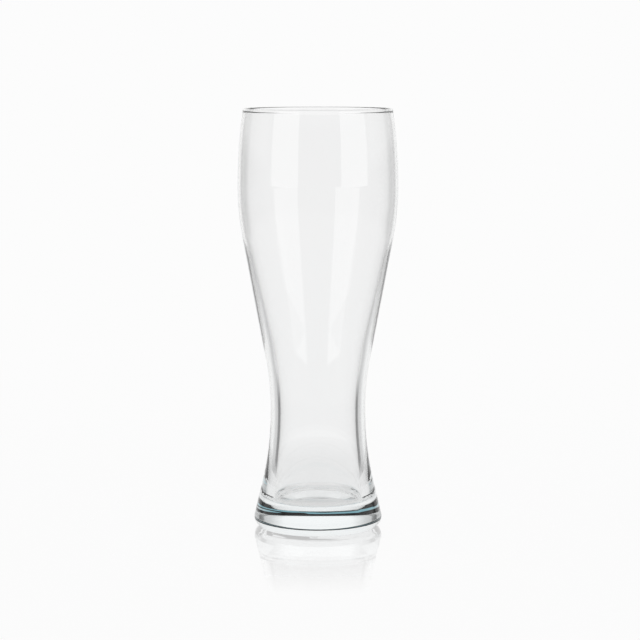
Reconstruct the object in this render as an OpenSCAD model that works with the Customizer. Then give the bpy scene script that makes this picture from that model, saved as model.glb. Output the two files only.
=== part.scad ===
// Weizen glass: a tall wheat-beer glass with a wide belly, a narrow waist and a heavy foot.
// A blown bowl is welded hot to a pressed foot. Both are turned about the Z axis, and the
// origin is the middle of the ring that stands on the table.

/* [Outside of the bowl] */
// Overall height, from the table to the rim
height = 220; // [180:1:280]
// Widest diameter of the bowl, at its belly
belly_d = 83.8; // [72:0.1:100]
// How far the belly's widest ring lies below the rim
belly_drop = 41; // [25:0.5:60]
// How much narrower the mouth is than the belly, measured across
mouth_draw_in = 5.5; // [2:0.1:12]
// Radius of the shoulder that turns the belly into the taper
shoulder_r = 138; // [60:1:200]
// Narrowest outside diameter, at the waist
waist_d = 49.8; // [42:0.1:58]
// Height of the waist above the table
waist_h = 61.5; // [45:0.5:85]
// Radius of the outside curve above the waist
waist_upper_r = 150; // [60:1:220]
// Radius of the outside curve below the waist
waist_lower_r = 163; // [60:1:220]

/* [Foot] */
// Widest diameter of the foot
foot_d = 67.3; // [60:0.1:80]
// Radius of the rounded edge at the bottom of the foot
foot_edge_r = 5.1; // [2:0.1:7]
// Lean from upright of the short bevel between the rounded edge and the table, in degrees
bevel_lean = 45; // [40:1:65]
// Width of the flat ring that stands on the table
bearing_w = 5.6; // [2:0.1:8]
// Rise of the shallow hollow under the foot
punt_rise = 1.2; // [0.4:0.1:3]

/* [Wall and floor] */
// Thickness of the wall from the belly up to the rim
wall = 1.65; // [1.2:0.05:3]
// Thickness of the fire-polished bead along the rim
rim_bead_d = 2.1; // [1.8:0.05:4]
// Thickness of the wall at the waist
waist_wall = 5; // [3:0.1:8]
// Height of the cavity's floor above the table
floor_h = 13.1; // [11:0.1:22]
// How much wider the cavity is at its floor than at the waist, measured across
well_spread = 6.8; // [1:0.1:10]
// Radius of the cavity's curve below the waist
well_r = 200; // [60:1:240]
// Radius in the corner between the cavity's wall and its floor
floor_corner_r = 3.5; // [1:0.1:6]
// Thickness of the bowl's own bottom, from the cavity's floor down to the weld
bowl_bottom = 4; // [2:0.1:6]

/* [Hidden] */

// Facets of a full circle in the outline, and of one turn about the axis
outline_fn = 720;
turn_fn = 180;
// Step that the heights of the crossings and the bulge's radius are rounded to
grid = 0.01;

// Wider than any section, for strips that end outside the glass
reach = belly_d;
// The share of two curves' room that they may fill, so that a straight run is left between them
curve_share = 0.97;
// How deep a straight run cuts into the curves that it touches, so that they cross cleanly
bite = 0.002;

belly_r = belly_d / 2;
waist_r = waist_d / 2;
foot_r = foot_d / 2;
belly_h = height - belly_drop;
weld_h = floor_h - bowl_bottom;

// The cavity follows the outside at the two walls' distance
cavity_belly_r = belly_r - wall;
cavity_waist_r = waist_r - waist_wall;
cavity_well_r = cavity_waist_r + well_spread / 2;

// The bulge from the belly to the rim's bead, along the middle of the wall
half_wall = wall / 2;
rim_bead_r = rim_bead_d / 2;
bulge_rise = belly_drop - rim_bead_r;
bulge_step = mouth_draw_in / 2 + rim_bead_r - half_wall;
bulge_r = snapped((bulge_rise * bulge_rise + bulge_step * bulge_step) / (2 * bulge_step));
bulge_turn = asin(bulge_rise / bulge_r);
bulge_centre = [belly_r - half_wall - bulge_r, belly_h];

// The bevel goes on straight from the rounded edge, and the bearing ring begins where it ends
bevel_out = [cos(bevel_lean), -sin(bevel_lean)];
bevel_top = [foot_r - foot_edge_r, foot_edge_r] + (foot_edge_r - bite) * bevel_out;
bearing_outer_r = bevel_top.x - bevel_top.y * tan(bevel_lean);

// The hollow under the foot is a shallow dome inside the bearing ring
bearing_inner_r = bearing_outer_r - bearing_w;
punt_r = (bearing_inner_r * bearing_inner_r + punt_rise * punt_rise) / (2 * punt_rise);

function snapped(size) = round(size / grid) * grid;

// How far one outline goes on inside the next, past the place where they cross
function cover(r) = 3 * sqrt(2 * bite * r);

// How far two radii may be kept, where their curves have to turn within a rise and a step
function kept(rise, step, radii) =
    min(1, curve_share * (rise * rise + step * step) / (2 * step) / radii);

// The lean from upright of the straight run between two curves
function lean(rise, step, radii) =
    atan2(rise, radii - step) - acos((radii - 2 * bite) / norm([rise, radii - step]));

// A rectangle beside the axis between two heights
module strip(low, high, from, to) {
    translate([from, low]) square([to - from, high - low]);
}

// What a circle covers of a strip: an outline that swells outwards
module swell(low, high, from, centre, r) {
    intersection() {
        strip(low, high, from, reach);
        translate(centre) circle(r, $fn = outline_fn);
    }
}

// What a circle leaves of a strip: an outline that is drawn in
module draw_in(low, high, centre, r) {
    difference() {
        strip(low, high, 0, centre.x);
        translate(centre) circle(r, $fn = outline_fn);
    }
}

// A straight run between two points of the outline
module run(low, high) {
    polygon([[0, low.y], low, high, [0, high.y]]);
}

// Half section from the belly down to a flat bottom, with every curve touching the next
module half_section(top_r, shoulder, neck_r, upper, lower, bottom_r, bottom_h, corner) {
    upper_rise = belly_h - waist_h;
    upper_kept = kept(upper_rise, top_r - neck_r, shoulder + upper);
    top_curve = upper_kept * shoulder;
    upper_curve = upper_kept * upper;
    top_centre = [top_r - top_curve, belly_h];
    upper_centre = [neck_r + upper_curve, waist_h];
    taper = lean(upper_rise, top_r - neck_r, top_curve + upper_curve);
    taper_out = [cos(taper), -sin(taper)];
    taper_down = [-sin(taper), -cos(taper)];
    taper_top = top_centre + (top_curve - bite) * taper_out;
    taper_low = upper_centre - (upper_curve - bite) * taper_out;

    corner_centre = [bottom_r - corner, bottom_h + corner];
    lower_rise = waist_h - corner_centre.y;
    lower_kept = kept(lower_rise, bottom_r - neck_r, lower + corner);
    lower_curve = lower_kept * (lower + corner) - corner;
    lower_centre = [neck_r + lower_curve, waist_h];
    flare = lean(lower_rise, bottom_r - neck_r, lower_curve + corner);
    flare_out = [cos(flare), sin(flare)];
    flare_up = [-sin(flare), cos(flare)];
    flare_top = lower_centre - (lower_curve - bite) * flare_out;
    flare_low = corner_centre + (corner - bite) * flare_out;
    corner_top_h = snapped(flare_low.y + cover(corner));

    swell(snapped(taper_top.y - cover(top_curve)), belly_h, 0, top_centre, top_curve);
    run(taper_low + cover(upper_curve) * taper_down, taper_top);
    draw_in(waist_h, snapped(taper_low.y), upper_centre, upper_curve);
    draw_in(snapped(flare_top.y), waist_h, lower_centre, lower_curve);
    run(flare_low, flare_top + cover(lower_curve) * flare_up);
    strip(bottom_h, corner_top_h, 0, corner_centre.x);
    swell(bottom_h, corner_top_h, corner_centre.x, corner_centre, corner);
}

// Half section of the glass as a solid, from the belly down to the table
module outside() {
    half_section(belly_r, shoulder_r, waist_r, waist_upper_r, waist_lower_r,
                 foot_r, 0, foot_edge_r);
}

// Half section of the space for the beer, from the belly down to its floor
module cavity() {
    half_section(cavity_belly_r, shoulder_r - wall, cavity_waist_r, waist_upper_r + waist_wall,
                 well_r, cavity_well_r, floor_h, floor_corner_r);
}

// Half section of the wall from the belly up to the bead along the rim
module mouth_wall() {
    far = 2 * bulge_r;
    rim_way = [cos(bulge_turn), sin(bulge_turn)];
    intersection() {
        translate(bulge_centre) polygon([[0, 0], [far, 0], far * rim_way]);
        difference() {
            translate(bulge_centre) circle(bulge_r + half_wall, $fn = outline_fn);
            translate(bulge_centre) circle(bulge_r - half_wall, $fn = outline_fn);
        }
    }
    translate(bulge_centre + bulge_r * rim_way) circle(rim_bead_r, $fn = outline_fn);
}

// The blown bowl, with its rim and its own closed bottom
module bowl() {
    color([0.88, 0.92, 0.92, 0.45]) rotate_extrude($fn = turn_fn) {
        difference() {
            intersection() {
                outside();
                strip(weld_h, belly_h, 0, reach);
            }
            cavity();
        }
        mouth_wall();
    }
}

// The heavy pressed foot, with its bevel, its bearing ring and the hollow under it
module foot() {
    color([0.62, 0.78, 0.80, 0.6]) rotate_extrude($fn = turn_fn) difference() {
        union() {
            intersection() {
                outside();
                strip(0, weld_h, 0, reach);
            }
            run([bearing_outer_r, 0], bevel_top);
        }
        translate([0, punt_rise - punt_r]) circle(punt_r, $fn = outline_fn);
    }
}

bowl();
foot();
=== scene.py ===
# %% [markdown]
# # A weizen glass, one step at a time
#
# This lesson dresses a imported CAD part, a tall wheat-beer glass, for a product picture. The real
# glass is blown into a mould and its bowl is welded hot to a pressed foot, so what the eye gets is
# one unbroken piece of clear glass. The steps are: load the part, draw its outline with a pen that
# only knows straight runs and arcs, turn that outline about the axis, make the glass, and set up
# the table, the studio and the camera.

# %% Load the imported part
from math import acos, asin, atan2, cos, degrees, hypot, pi, radians, sin, tan

import bmesh
import bpy
from mathutils import Matrix, Vector, noise


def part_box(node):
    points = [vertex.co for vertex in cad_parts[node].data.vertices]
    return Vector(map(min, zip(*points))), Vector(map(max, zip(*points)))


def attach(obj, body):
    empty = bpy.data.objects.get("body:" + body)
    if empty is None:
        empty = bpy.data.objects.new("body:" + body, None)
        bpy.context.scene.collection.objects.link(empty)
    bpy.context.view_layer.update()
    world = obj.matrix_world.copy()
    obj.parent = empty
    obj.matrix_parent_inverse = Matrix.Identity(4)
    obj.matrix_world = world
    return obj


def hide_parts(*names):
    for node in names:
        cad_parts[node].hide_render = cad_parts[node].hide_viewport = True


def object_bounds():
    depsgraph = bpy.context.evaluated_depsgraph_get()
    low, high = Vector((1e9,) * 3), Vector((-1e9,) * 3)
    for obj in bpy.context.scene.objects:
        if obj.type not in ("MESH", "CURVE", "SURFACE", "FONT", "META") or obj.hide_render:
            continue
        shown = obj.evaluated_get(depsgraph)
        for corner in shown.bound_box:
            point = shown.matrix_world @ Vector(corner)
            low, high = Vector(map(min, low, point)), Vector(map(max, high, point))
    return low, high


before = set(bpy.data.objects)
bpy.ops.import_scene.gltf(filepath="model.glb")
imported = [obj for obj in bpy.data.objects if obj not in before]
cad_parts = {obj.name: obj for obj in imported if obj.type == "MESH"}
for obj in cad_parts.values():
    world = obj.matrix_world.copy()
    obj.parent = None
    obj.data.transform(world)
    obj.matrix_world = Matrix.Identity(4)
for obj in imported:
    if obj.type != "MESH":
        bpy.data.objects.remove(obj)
cad_low, cad_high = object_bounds()
print("CAD nodes:", sorted(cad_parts), "box in metres:", tuple(cad_low), tuple(cad_high))

# %% [markdown]
# ## Sizes of the outline
#
# The part's own boxes give the height, the belly and the foot, so the picture can't drift away from
# the solids. A box doesn't tell how a wall curves, so the radii and the wall's thickness are named
# here, in millimetres, as a glassmaker would write them on the mould's drawing.

# %% Sizes of the outline
MM = 0.001

height = cad_high.z
belly_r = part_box("bowl")[1].x
foot_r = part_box("foot")[1].x

belly_drop = 41 * MM
belly_h = height - belly_drop
mouth_draw_in = 2.75 * MM
shoulder_r = 138 * MM
waist_r = 24.9 * MM
waist_h = 61.5 * MM
waist_upper_r = 150 * MM
waist_lower_r = 163 * MM

foot_edge_r = 5.1 * MM
bevel_lean = radians(45)
bevel_round_r = 0.4 * MM
bearing_w = 5.6 * MM
punt_rise = 1.2 * MM

wall = 1.65 * MM
rim_bead_r = 1.05 * MM
rim_runout_r = 1.0 * MM
waist_wall = 5 * MM
floor_h = 13.1 * MM
well_spread = 3.4 * MM
well_r = 200 * MM
floor_corner_r = 3.5 * MM
print(f"height {height / MM:.1f} mm, belly {2 * belly_r / MM:.1f} mm, foot {2 * foot_r / MM:.1f} mm")

# %% [markdown]
# ## A pen for outlines
#
# A turned shape needs only half of its section. It could be typed in as a long list of points, but
# then nobody could read the radii out of it. Here a pen draws it: a straight run is an extruded
# vertex, and an arc is a vertex that is spun about the arc's centre. Both are bmesh operators, and
# both return the new tip of the line.

# %% The pen: straight runs and arcs


def run_to(bm, tip, end, pieces):
    """Draws a straight run to a point (r, z) in equal pieces, and returns the new tip."""
    first = tip.co.copy()
    last = Vector((end[0], 0, end[1]))
    for piece in range(pieces):
        tip = bmesh.ops.extrude_vert_indiv(bm, verts=[tip])["verts"][0]
        tip.co = first.lerp(last, (piece + 1) / pieces)
    return tip


def arc_by(bm, tip, centre, turn, steps):
    """Swings the tip about a centre (r, z), anticlockwise for a positive turn, and returns it."""
    made = bmesh.ops.spin(
        bm, geom=[tip], cent=(centre[0], 0, centre[1]), axis=(0, -1, 0), angle=turn, steps=steps
    )
    return next(g for g in made["geom_last"] if isinstance(g, bmesh.types.BMVert))


def lean(rise, step, radii):
    """The lean from upright of the straight run that touches two curves, in radians."""
    return atan2(rise, radii - step) - acos(radii / hypot(rise, radii - step))


flare = lean(waist_h - foot_edge_r, foot_r - waist_r, waist_lower_r + foot_edge_r)
taper = lean(belly_h - waist_h, belly_r - waist_r, shoulder_r + waist_upper_r)
print(f"the flare leans by {degrees(flare):.2f} degrees and the taper by {degrees(taper):.2f}")

# %% [markdown]
# ## The foot
#
# The pen starts under the foot, in the middle of the shallow hollow that keeps the glass from
# rocking. Then come the flat ring that stands on the table, a short bevel and the foot's rounded
# edge. The corners could be bevelled on the finished mesh, but in an outline a rounding is just one
# more arc. The bevel's lower edge gets a very small one: pressed glass has no sharp corner, and a
# sharp one would draw a hard line all the way round the foot.

# %% Draw the foot
bm = bmesh.new()
tip = bm.verts.new((0, 0, punt_rise))

edge_x = foot_r - foot_edge_r
bevel_top = (edge_x + foot_edge_r * cos(bevel_lean), foot_edge_r * (1 - sin(bevel_lean)))
bearing_outer_r = bevel_top[0] - bevel_top[1] * tan(bevel_lean)
bearing_inner_r = bearing_outer_r - bearing_w
punt_r = (bearing_inner_r**2 + punt_rise**2) / (2 * punt_rise)
round_turn = pi / 2 - bevel_lean
round_x = bearing_outer_r - bevel_round_r * tan(round_turn / 2)

tip = arc_by(bm, tip, (0, punt_rise - punt_r), -asin(bearing_inner_r / punt_r), steps=24)
tip = run_to(bm, tip, (round_x, 0), pieces=8)
tip = arc_by(bm, tip, (round_x, bevel_round_r), round_turn, steps=6)
tip = run_to(bm, tip, bevel_top, pieces=3)
tip = arc_by(bm, tip, (edge_x, foot_edge_r), bevel_lean + flare, steps=24)
print(f"the ring on the table: {bearing_inner_r / MM:.2f} to {bearing_outer_r / MM:.2f} mm from the axis")

# %% [markdown]
# ## The outside, up to the belly
#
# The mould gives the glass its outside: the flare, the narrow waist for the hand, the long taper and
# the shoulder. Each straight run touches the curves at its ends. A spline through a few points would
# be quicker to draw, but it swells a little between them, and glass shows such a swelling at once as
# a bend in what is seen through it.

# %% Draw the outside
lower_x = waist_r + waist_lower_r
upper_x = waist_r + waist_upper_r
shoulder_x = belly_r - shoulder_r
flare_top = (lower_x - waist_lower_r * cos(flare), waist_h - waist_lower_r * sin(flare))
taper_top = (shoulder_x + shoulder_r * cos(taper), belly_h - shoulder_r * sin(taper))

tip = run_to(bm, tip, flare_top, pieces=8)
tip = arc_by(bm, tip, (lower_x, waist_h), -flare, steps=20)
tip = arc_by(bm, tip, (upper_x, waist_h), -taper, steps=16)
tip = run_to(bm, tip, taper_top, pieces=16)
tip = arc_by(bm, tip, (shoulder_x, belly_h), taper, steps=16)
print(f"at the belly the pen is {tip.co.x / MM:.2f} mm from the axis and {tip.co.z / MM:.2f} mm up")

# %% [markdown]
# ## The mouth and its bead
#
# Above the belly the glass draws in a little towards the mouth. The rim was cut and then melted
# smooth in a flame, which gathers its edge into a bead. The melt flows to the inside: the bead is
# flush with the outside and runs out into the inner wall along a small hollow curve. A half circle
# across the wall would be simpler, but the bead draws the two fine lines and the dark streaks of the
# rim, so it gets a section of its own. The triangle between the centres of the bulge, the bead and
# the hollow curve gives the angles.

# %% Draw the mouth
bulge_rise = belly_drop - rim_bead_r
bead_arm = (bulge_rise**2 + mouth_draw_in**2) / (2 * mouth_draw_in)
bulge_out_r = bead_arm + rim_bead_r
bulge_in_r = bulge_out_r - wall
bulge_centre = (belly_r - bulge_out_r, belly_h)
bulge_turn = asin(bulge_rise / bead_arm)
bead_centre = (bulge_centre[0] + bead_arm * cos(bulge_turn), belly_h + bulge_rise)

runout_arm = bulge_in_r - rim_runout_r
runout_gap = rim_bead_r + rim_runout_r
bead_wrap = acos((bead_arm**2 + runout_gap**2 - runout_arm**2) / (2 * bead_arm * runout_gap))
runout_turn = acos((bead_arm**2 + runout_arm**2 - runout_gap**2) / (2 * bead_arm * runout_arm))
inner_turn = bulge_turn - runout_turn
runout_centre = (
    bulge_centre[0] + runout_arm * cos(inner_turn),
    belly_h + runout_arm * sin(inner_turn),
)

tip = arc_by(bm, tip, bulge_centre, bulge_turn, steps=24)
tip = arc_by(bm, tip, bead_centre, pi + bead_wrap, steps=32)
tip = arc_by(bm, tip, runout_centre, -(bead_wrap + runout_turn), steps=12)
tip = arc_by(bm, tip, bulge_centre, -inner_turn, steps=24)
print(f"the bead wraps {degrees(pi + bead_wrap):.0f} degrees, {bead_centre[1] / MM:.2f} mm up")

# %% [markdown]
# ## The space for the beer
#
# Inside, no mould touches the glass: the wall is thin where the bowl was blown wide and thick at the
# waist. An offset of the outside, as the Solidify modifier makes, would keep one thickness, so the
# cavity gets its own curves and goes down to a flat floor with a rounded corner.

# %% Draw the cavity
inner_belly_r = belly_r - wall
inner_waist_r = waist_r - waist_wall
inner_well_r = inner_waist_r + well_spread
inner_shoulder_r = shoulder_r - wall
inner_upper_r = waist_upper_r + waist_wall
inner_upper_x = inner_waist_r + inner_upper_r
corner_x = inner_well_r - floor_corner_r
corner_h = floor_h + floor_corner_r

inner_step = inner_belly_r - inner_waist_r
inner_taper = lean(belly_h - waist_h, inner_step, inner_shoulder_r + inner_upper_r)
inner_flare = lean(waist_h - corner_h, well_spread, well_r + floor_corner_r)
inner_taper_low = (
    inner_upper_x - inner_upper_r * cos(inner_taper),
    waist_h + inner_upper_r * sin(inner_taper),
)
corner_top = (
    corner_x + floor_corner_r * cos(inner_flare),
    corner_h + floor_corner_r * sin(inner_flare),
)

tip = arc_by(bm, tip, (inner_belly_r - inner_shoulder_r, belly_h), -inner_taper, steps=16)
tip = run_to(bm, tip, inner_taper_low, pieces=16)
tip = arc_by(bm, tip, (inner_upper_x, waist_h), inner_taper, steps=16)
tip = arc_by(bm, tip, (inner_waist_r + well_r, waist_h), inner_flare, steps=16)
tip = run_to(bm, tip, corner_top, pieces=8)
tip = arc_by(bm, tip, (corner_x, corner_h), -(pi / 2 + inner_flare), steps=20)
tip = run_to(bm, tip, (0, floor_h), pieces=8)
print(f"outline of {len(bm.verts)} points")

# %% [markdown]
# ## Turn the outline into the glass
#
# One full spin about Z makes the body, as a mould and a blowpipe do. A Screw modifier would do the
# same, but a spin in the bmesh leaves plain faces that the next step can shape. It also leaves a
# stack of points where the outline meets the axis, so doubles are merged, and only then are the
# normals recalculated.

# %% Spin the glass
TURN_STEPS = 256
MERGE_DISTANCE = 0.001 * MM

bmesh.ops.spin(
    bm,
    geom=bm.verts[:] + bm.edges[:],
    cent=(0, 0, 0),
    axis=(0, 0, 1),
    angle=2 * pi,
    steps=TURN_STEPS,
    use_merge=True,
)
bmesh.ops.remove_doubles(bm, verts=bm.verts, dist=MERGE_DISTANCE)
bmesh.ops.recalc_face_normals(bm, faces=bm.faces)
print(f"{len(bm.verts)} points and {len(bm.faces)} faces after the spin")

# %% [markdown]
# ## An uneven ring
#
# The ring that stands on the table is pressed, and worn by many tables. It is uneven by a few
# hundredths of a millimetre, which is nothing to the hand but breaks up the bands of light in the
# foot. A bump in the material could do it, but it would need a mask for the ring and would be no part
# of the mesh. So the points themselves are lifted, by Blender's own noise, which is the same in
# every run.

# %% Wear the ring
RING_TOP = 0.3 * MM
RING_SOFT = 4 * MM
RING_UNEVEN = 0.034 * MM
RING_WAVE = 4 * MM
NOISE_MIDDLE = 0.5

lifts = []
for vert in bm.verts:
    in_ring = hypot(vert.co.x, vert.co.y) > bearing_inner_r - RING_SOFT
    if in_ring and vert.co.z < RING_TOP:
        lift = RING_UNEVEN * max(0.0, NOISE_MIDDLE + noise.noise(vert.co / RING_WAVE))
        vert.co.z += lift
        lifts.append(lift)
print(f"{len(lifts)} points of the ring lifted by up to {max(lifts) / MM:.3f} mm")

# %% [markdown]
# ## One mesh for both solids
#
# The part has two solids, because the bowl and the foot are made apart. In the picture one mesh
# stands for both: the real weld is molten and leaves no face, and a face between two pieces of clear
# glass would show as a bright disc. Smooth shading lets the facets bend light as one surface.

# %% Hand the glass to the part
for face in bm.faces:
    face.smooth = True
glass_mesh = bpy.data.meshes.new("weizen_glass")
bm.to_mesh(glass_mesh)
bm.free()
glass = bpy.data.objects.new("weizen_glass", glass_mesh)
bpy.context.scene.collection.objects.link(glass)
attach(glass, "root")
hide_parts("bowl", "foot")
print(f"{glass.name}: {len(glass_mesh.polygons)} faces")

# %% [markdown]
# ## Soda-lime glass
#
# Drinking glasses are soda-lime glass. It is clear and as smooth as a flame leaves it, so the
# roughness is zero, and faint waves of the fire polish are a bump of a few thousandths of a
# millimetre. Its colour isn't on the surface: a little iron tints it blue-green all through, which
# shows only where light runs a long way in the foot. A tinted base colour would tint thin and thick
# glass alike, so Volume Absorption does it.

# %% Helpers for materials


def linear(hex_colour):
    """Turns an sRGB hex colour such as "8FD0D8" into linear RGBA."""
    values = [int(hex_colour[i : i + 2], 16) / 255 for i in (0, 2, 4)]
    return [v / 12.92 if v <= 0.04045 else ((v + 0.055) / 1.055) ** 2.4 for v in values] + [1.0]


def add_node(tree, kind, inputs=None, **properties):
    """Adds a node, sets its properties, and links its inputs to sockets or sets their values."""
    node = tree.nodes.new(kind)
    for name, value in properties.items():
        setattr(node, name, value)
    for name, value in (inputs or {}).items():
        if isinstance(value, bpy.types.NodeSocket):
            tree.links.new(value, node.inputs[name])
        else:
            node.inputs[name].default_value = value
    return node


print("plain white in linear light:", linear("FFFFFF"))

# %% Make the glass
POLISH_WAVE = 12 * MM
POLISH_DEPTH = 0.006 * MM

# Blown and fire-polished: sharp reflections, a faint ripple in them, and a cool depth in the foot
soda_lime = bpy.data.materials.new("soda_lime_glass")
soda_lime.use_nodes = True
tree = soda_lime.node_tree
tree.nodes.clear()
place = add_node(tree, "ShaderNodeTexCoord")
waves = add_node(
    tree,
    "ShaderNodeTexNoise",
    {"Vector": place.outputs["Object"], "Scale": 1 / POLISH_WAVE, "Detail": 1.0, "Roughness": 0.4},
)
polish = add_node(
    tree, "ShaderNodeBump", {"Height": waves.outputs["Fac"], "Distance": POLISH_DEPTH}
)
surface = add_node(
    tree,
    "ShaderNodeBsdfPrincipled",
    {
        "Base Color": linear("FFFFFF"),
        "Roughness": 0.0,
        "IOR": 1.52,
        "Transmission Weight": 1.0,
        "Normal": polish.outputs["Normal"],
    },
)
tint = add_node(
    tree, "ShaderNodeVolumeAbsorption", {"Color": linear("8FD0D8"), "Density": 1.2}
)
add_node(
    tree,
    "ShaderNodeOutputMaterial",
    {"Surface": surface.outputs["BSDF"], "Volume": tint.outputs["Volume"]},
)
glass_mesh.materials.append(soda_lime)
print(f"{soda_lime.name}: {len(tree.nodes)} nodes")

# %% [markdown]
# ## The table, as the camera sees it
#
# The glass stands on a polished top of white acrylic. To the camera it is as white as the backdrop,
# takes a weak shadow and mirrors the foot. A plain glossy white under strong lamps would clip, so
# most of the top is an even glow in the backdrop's own white and a small share of it is matt and
# takes the shadow. A mirror is mixed in near the glass and fades with the distance, because a fine
# grain blurs what stands far above it. Far out the top turns clear, so that no edge shows.

# %% Lay the table
TABLE_R = 0.75
TABLE_SEGMENTS = 128
# The glass stands a hair deep in the table, so that no light slips under it
SINK = Matrix.Translation((0, 0, 0.02 * MM))

bm = bmesh.new()
bmesh.ops.create_circle(bm, cap_ends=True, segments=TABLE_SEGMENTS, radius=TABLE_R, matrix=SINK)
table_mesh = bpy.data.meshes.new("table_top")
bm.to_mesh(table_mesh)
bm.free()
table = bpy.data.objects.new("table_top", table_mesh)
bpy.context.scene.collection.objects.link(table)
print(f"{table.name}: {2 * TABLE_R:.1f} m across")

# %% The top that the camera sees
WHITE = linear("FCFCFC")
MATT_WHITE = linear("EDEDED")
SHADOW_SHARE = 0.06
MIRROR_START = 0.02
MIRROR_END = 0.16
MIRROR_SHARE = 0.5
MIRROR_GRAIN = 0.009
FADE_START = 0.3

# Polished acrylic: an even white, with a clear mirror image where something touches it
table_white = bpy.data.materials.new("table_white_acrylic")
table_white.use_nodes = True
tree = table_white.node_tree
tree.nodes.clear()
place = add_node(tree, "ShaderNodeTexCoord")
distance = add_node(
    tree, "ShaderNodeVectorMath", {0: place.outputs["Object"]}, operation="LENGTH"
).outputs["Value"]
lit = add_node(tree, "ShaderNodeEmission", {"Color": WHITE})
matt = add_node(tree, "ShaderNodeBsdfDiffuse", {"Color": MATT_WHITE})
top = add_node(
    tree,
    "ShaderNodeMixShader",
    {0: SHADOW_SHARE, 1: lit.outputs["Emission"], 2: matt.outputs["BSDF"]},
)
mirror = add_node(
    tree, "ShaderNodeBsdfGlossy", {"Color": linear("FFFFFF"), "Roughness": MIRROR_GRAIN}
)
mirror_share = add_node(
    tree,
    "ShaderNodeMapRange",
    {
        "Value": distance,
        "From Min": MIRROR_START,
        "From Max": MIRROR_END,
        "To Min": MIRROR_SHARE,
        "To Max": 0.0,
    },
)
polished = add_node(
    tree,
    "ShaderNodeMixShader",
    {0: mirror_share.outputs["Result"], 1: top.outputs["Shader"], 2: mirror.outputs["BSDF"]},
)
faded = add_node(
    tree,
    "ShaderNodeMapRange",
    {"Value": distance, "From Min": FADE_START, "From Max": TABLE_R},
)
clear = add_node(tree, "ShaderNodeBsdfTransparent")
seen = add_node(
    tree,
    "ShaderNodeMixShader",
    {0: faded.outputs["Result"], 1: polished.outputs["Shader"], 2: clear.outputs["BSDF"]},
)
print(f"{table_white.name}: {len(tree.nodes)} nodes so far")

# %% [markdown]
# ## The table, as the glass sees it
#
# Rays that come to the table out of the glass find the shade that the foot throws around it, painted on
# the table. Those that ran a long way down inside the glass end on the ring under it, and there the table
# is painted a darker blue-green: a painted shade in the colour that such light takes up in the glass.
# Both could be left to the renderer, but it follows a ray for only a dozen bounces, and light in a thick
# foot needs more. So the shade and the ring's shade are painted, by the distance from the middle, and
# Light Path's ray length tells the long runs from the short ones. Farther out the table is clear to these
# rays, and they go on to the studio.

# %% The top that the glass sees
SHADE = [(0.028, "DBDBDB"), (0.06, "EDEDED"), (0.14, "EDEDED"), (0.3, "F9F9F9")]
RING_R = 31 * MM
# Painted shade under the ring where the glass stands, blue-green like light that ran far inside the glass
PAINTED_RING_SHADE = linear("7CA8B3")
LONG_RUN = (0.035, 0.05)


def fill_ramp(ramp, stops):
    """Gives a colour ramp its stops, each a place from 0 to 1 and a linear colour."""
    elements = ramp.color_ramp.elements
    while len(elements) < len(stops):
        elements.new(1.0)
    for element, (place, colour) in zip(elements, stops):
        element.position = place
        element.color = colour


path = add_node(tree, "ShaderNodeLightPath")
shade_end = SHADE[-1][0]
shade_share = add_node(tree, "ShaderNodeMath", {0: distance, 1: shade_end}, operation="DIVIDE")
shade = add_node(tree, "ShaderNodeValToRGB", {"Fac": shade_share.outputs["Value"]})
fill_ramp(shade, [(r / shade_end, linear(grey)) for r, grey in SHADE])
touching = add_node(tree, "ShaderNodeMath", {0: distance, 1: RING_R}, operation="LESS_THAN")
long_run = add_node(
    tree,
    "ShaderNodeMapRange",
    {"Value": path.outputs["Ray Length"], "From Min": LONG_RUN[0], "From Max": LONG_RUN[1]},
)
on_ring = add_node(
    tree,
    "ShaderNodeMath",
    {0: touching.outputs["Value"], 1: long_run.outputs["Result"]},
    operation="MULTIPLY",
)
# The table's glow for rays from the glass is painted shade: the foot's shade, and the blue-green shade on
# the ring
under = add_node(
    tree,
    "ShaderNodeMix",
    {0: on_ring.outputs["Value"], 6: shade.outputs["Color"], 7: PAINTED_RING_SHADE},
    data_type="RGBA",
)
glow = add_node(tree, "ShaderNodeEmission", {"Color": under.outputs[2]})
print(f"{table_white.name}: {len(tree.nodes)} nodes with the shade and the ring")

# %% [markdown]
# ## One table for both
#
# One material has to serve the camera and the glass. Two tables, each hidden from one kind of ray,
# would lie in the same plane and fight there. Light Path tells which kind of ray asks: mirrored and
# transmitted rays get the shade, and all others get the polished top. Beyond the foot's nearest
# shade only short, straight rays still find it, because they show the table just behind the glass.

# %% Put both tops together
NEAR_R = 0.12
SHORT_RUN = 0.24
# Bounces are counted in whole numbers, so a half more is a safe border between two counts
HALF = 0.5

near = add_node(tree, "ShaderNodeMath", {0: distance, 1: NEAR_R}, operation="LESS_THAN")
short_run = add_node(
    tree, "ShaderNodeMath", {0: path.outputs["Ray Length"], 1: SHORT_RUN}, operation="LESS_THAN"
)
straight = add_node(
    tree, "ShaderNodeMath", {0: path.outputs["Glossy Depth"], 1: HALF}, operation="LESS_THAN"
)
behind = add_node(
    tree,
    "ShaderNodeMath",
    {0: short_run.outputs["Value"], 1: straight.outputs["Value"]},
    operation="MULTIPLY",
)
shaded = add_node(
    tree,
    "ShaderNodeMath",
    {0: near.outputs["Value"], 1: behind.outputs["Value"]},
    operation="MAXIMUM",
)
through = add_node(
    tree,
    "ShaderNodeMixShader",
    {0: shaded.outputs["Value"], 1: clear.outputs["BSDF"], 2: glow.outputs["Emission"]},
)
bent = add_node(
    tree,
    "ShaderNodeMath",
    {0: path.outputs["Is Glossy Ray"], 1: path.outputs["Is Transmission Ray"]},
    operation="ADD",
    use_clamp=True,
)
table_look = add_node(
    tree,
    "ShaderNodeMixShader",
    {0: bent.outputs["Value"], 1: seen.outputs["Shader"], 2: through.outputs["Shader"]},
)
add_node(tree, "ShaderNodeOutputMaterial", {"Surface": table_look.outputs["Shader"]})
table_mesh.materials.append(table_white)
print(f"{table_white.name}: {len(tree.nodes)} nodes")

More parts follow.
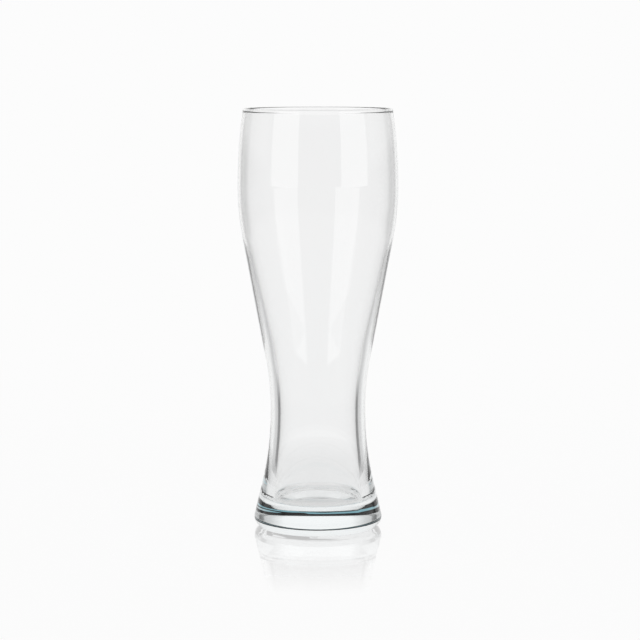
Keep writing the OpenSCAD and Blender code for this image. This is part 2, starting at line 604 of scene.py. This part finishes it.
# %% [markdown]
# ## Directions in the studio
#
# Clear glass has no colour to show: it shows the room, bent and mirrored. The room could be built of
# white sheets and grey cards, but a world is easier to tune, because there each direction simply has
# a colour. Two numbers place a direction: how high it points, and how far it is turned from the back
# wall. Three painters use them: one by height, one by turn, and one by how many surfaces a ray has
# been mirrored by or let through.

# %% Painters for the studio
FULL_TURN = 360

studio = bpy.data.worlds.new("white_studio")
bpy.context.scene.world = studio
studio.use_nodes = True
# The world isn't sampled as a lamp, so each ray finds it by itself and with its own history
studio.cycles.sampling_method = "NONE"
tree = studio.node_tree
tree.nodes.clear()
path = add_node(tree, "ShaderNodeLightPath")
place = add_node(tree, "ShaderNodeTexCoord")
axes = add_node(tree, "ShaderNodeSeparateXYZ", {0: place.outputs["Generated"]})
from_back = add_node(
    tree,
    "ShaderNodeMath",
    {0: axes.outputs["X"], 1: axes.outputs["Y"]},
    operation="ARCTAN2",
)
turn_share = add_node(
    tree,
    "ShaderNodeMapRange",
    {"Value": from_back.outputs["Value"], "From Min": -pi, "From Max": pi},
)


def by_height(low, high, lower, upper):
    """Paints one colour under an elevation and another over a higher one, both in degrees."""
    share = add_node(
        tree,
        "ShaderNodeMapRange",
        {
            "Value": axes.outputs["Z"],
            "From Min": sin(radians(low)),
            "From Max": sin(radians(high)),
        },
    ).outputs["Result"]
    mixed = add_node(tree, "ShaderNodeMix", {0: share, 6: lower, 7: upper}, data_type="RGBA")
    return mixed.outputs[2]


def by_turn(stops):
    """Paints greys by the turn from the back wall in degrees, the same on the left and right."""
    both = [(-turn, grey) for turn, grey in reversed(stops)] + stops
    ramp = add_node(tree, "ShaderNodeValToRGB", {"Fac": turn_share.outputs["Result"]})
    fill_ramp(ramp, [(turn / FULL_TURN + HALF, linear(3 * grey)) for turn, grey in both])
    return ramp.outputs["Color"]


def by_count(kind, most, few, many):
    """Paints one colour for rays with at most a number of bounces of a kind, another for more."""
    more = add_node(
        tree, "ShaderNodeMath", {0: path.outputs[kind], 1: most + HALF}, operation="GREATER_THAN"
    ).outputs["Value"]
    mixed = add_node(tree, "ShaderNodeMix", {0: more, 6: few, 7: many}, data_type="RGBA")
    return mixed.outputs[2]


print(f"{studio.name}: {len(tree.nodes)} nodes that tell directions and rays")

# %% [markdown]
# ## The backdrop behind the glass
#
# Rays that pass straight through the glass end on the backdrop. One sheet with one white would do,
# but then a thin bowl would hardly show, so through the glass it is a touch darker than around it.
# High above and steeply below it is grey. Mostly the bead along the rim bends light so far that it
# shows these greys, and they draw its fine lines.

# %% Paint the backdrop
BACKDROP = linear("F9F9F9")
OVERHEAD = linear("AEAEAE")
# Borders in degrees of elevation: where one colour starts to give way, and where the next is full
UNDERFOOT = (-62, -56)
FLOOR_EDGE = (-46, -36)
BACKDROP_TOP = (32, 44)

steep = by_height(*UNDERFOOT, WHITE, OVERHEAD)
below = by_height(*FLOOR_EDGE, steep, BACKDROP)
backdrop = by_height(*BACKDROP_TOP, below, OVERHEAD)
print(f"{studio.name}: {len(tree.nodes)} nodes with the backdrop")

# %% [markdown]
# ## The room that the glass mirrors
#
# A mirrored ray shows the rest of the room. Its walls are white behind the glass and darken towards
# the sides, with a narrow dark gap between them, and that shades the edges of the glass. Cards and
# gaps could stand there as meshes, but as greys by turn each can be moved by one number. Rays that
# crossed many surfaces see a plain dim wall, and those that were mirrored twice see a blue-green
# ceiling, as light does that has run far inside glass. The outer face of the glass and the table's
# mirror look at the front of the room, which is grey low down on the camera's side and white above.

# %% Paint the room
SIDES = [
    (22, "FC"),
    (35, "D4"),
    (44, "C8"),
    (47, "89"),
    (56, "81"),
    (60, "C4"),
    (180, "BC"),
]
LOW_SIDES = [
    (22, "FC"),
    (30, "E5"),
    (40, "C5"),
    (44, "C5"),
    (50, "DD"),
    (65, "DF"),
    (180, "CB"),
]
FRONT = [(95, "FC"), (110, "BC"), (180, "BC")]
DIM = linear("B3B3B3")
CEILING = linear("9EBBC4")
LOW_WALL_TOP = (-15, -10.5)
WALL_TOP = (38, 50)
FRONT_FOOT = (0, 3)
FRONT_TOP = (10, 15)
MOST_CROSSINGS = 2
MOST_MIRRORINGS = 1

walls = by_height(*LOW_WALL_TOP, by_turn(LOW_SIDES), by_turn(SIDES))
far_walls = by_count("Transmission Depth", MOST_CROSSINGS, walls, DIM)
ceiling = by_count("Glossy Depth", MOST_MIRRORINGS, WHITE, CEILING)
inner_room = by_height(*WALL_TOP, far_walls, ceiling)
front_room = by_height(*FRONT_TOP, by_turn(FRONT), WHITE)
outer_room = by_height(*FRONT_FOOT, inner_room, front_room)
room = by_count("Transmission Depth", 0, outer_room, inner_room)
print(f"{studio.name}: {len(tree.nodes)} nodes with the room")

# %% [markdown]
# ## Light the studio
#
# Rays from the glass and from the table's mirror get the backdrop or the room. The camera gets the
# backdrop's plain white, and matt surfaces get an even light of about one. Lamps all round could
# give that light, but a world has no edges and casts no hard shadow.

# %% Light the studio
# A little over one, because the table's matt share is a little grey
EVEN_LIGHT = (1.081, 1.081, 1.081, 1.0)

bent_colour = by_count("Glossy Depth", 0, backdrop, room)
plain = add_node(
    tree,
    "ShaderNodeMix",
    {0: path.outputs["Is Camera Ray"], 6: EVEN_LIGHT, 7: WHITE},
    data_type="RGBA",
)
bent = add_node(
    tree,
    "ShaderNodeMath",
    {0: path.outputs["Is Glossy Ray"], 1: path.outputs["Is Transmission Ray"]},
    operation="ADD",
    use_clamp=True,
)
colour = add_node(
    tree,
    "ShaderNodeMix",
    {0: bent.outputs["Value"], 6: plain.outputs[2], 7: bent_colour},
    data_type="RGBA",
)
shine = add_node(tree, "ShaderNodeBackground", {"Color": colour.outputs[2]})
add_node(tree, "ShaderNodeOutputWorld", {"Surface": shine.outputs["Background"]})
print(f"{studio.name}: {len(tree.nodes)} nodes")

# %% [markdown]
# ## Two softboxes
#
# Two upright softboxes beside the camera leave the pale stripes on the bowl. They could be bright
# patches of the world, but a lamp at a real distance gives stripes that lean and narrow towards the
# waist, as on a real glass. Their lower edges are raised, so that the stripes of the outer face and
# of the inner wall don't overlap. Light linking keeps them off the table, whose mirror they would
# turn to a blank white in the views from behind.

# %% Set up the softboxes
SOFTBOX_RADIANCE = 0.74
SOFTBOX_DISTANCE = 0.5
SOFTBOX_LOW = 0.161
SOFTBOX_W = 0.375
SOFTBOX_H = 0.37
SOFTBOX_TURNS = {"softbox_left": -132, "softbox_right": 127}

lit_glass = bpy.data.collections.new("lit_by_softboxes")
lit_glass.objects.link(glass)
for name, turn in SOFTBOX_TURNS.items():
    lamp = bpy.data.lights.new(name, "AREA")
    lamp.shape = "RECTANGLE"
    lamp.size = SOFTBOX_W
    lamp.size_y = SOFTBOX_H
    lamp.energy = SOFTBOX_RADIANCE * pi * SOFTBOX_W * SOFTBOX_H
    softbox = bpy.data.objects.new(name, lamp)
    angle = radians(turn)
    softbox.location = (
        SOFTBOX_DISTANCE * sin(angle),
        SOFTBOX_DISTANCE * cos(angle),
        SOFTBOX_LOW + SOFTBOX_H / 2,
    )
    softbox.rotation_euler = (pi / 2, 0, pi - angle)
    softbox.visible_camera = False
    softbox.light_linking.receiver_collection = lit_glass
    bpy.context.scene.collection.objects.link(softbox)
    print(f"{name}: {lamp.energy:.3f} W, turned {turn} degrees from the back wall")

# %% [markdown]
# ## The camera
#
# The rim shows as two lines only a few pixels apart, so the camera is just above it, and the view
# down on the foot tells how near it is: about 1.2 m, with a long lens. The focal length is worked out
# in the picture's own pixels, which makes it easy to compare with a measured picture, and then
# turned into millimetres for Blender's sensor.

# %% Place the camera
SENSOR_MM = 36.0
FRAME_PX = 640.0
FOCAL_PX = 2309.5
CAMERA_PLACE = (0.00107, -1.205, 0.2473)
LOOK_DOWN = radians(6.535)

lens = bpy.data.cameras.new("picture_camera")
lens.sensor_width = SENSOR_MM
lens.lens = SENSOR_MM * FOCAL_PX / FRAME_PX
camera = bpy.data.objects.new("picture_camera", lens)
camera.location = CAMERA_PLACE
camera.rotation_euler = (pi / 2 - LOOK_DOWN, 0, 0)
bpy.context.scene.collection.objects.link(camera)
bpy.context.scene.camera = camera
bpy.context.scene.view_settings.view_transform = "Standard"
print(f"lens of {lens.lens:.1f} mm, {camera.location.z - height:.4f} m above the rim")
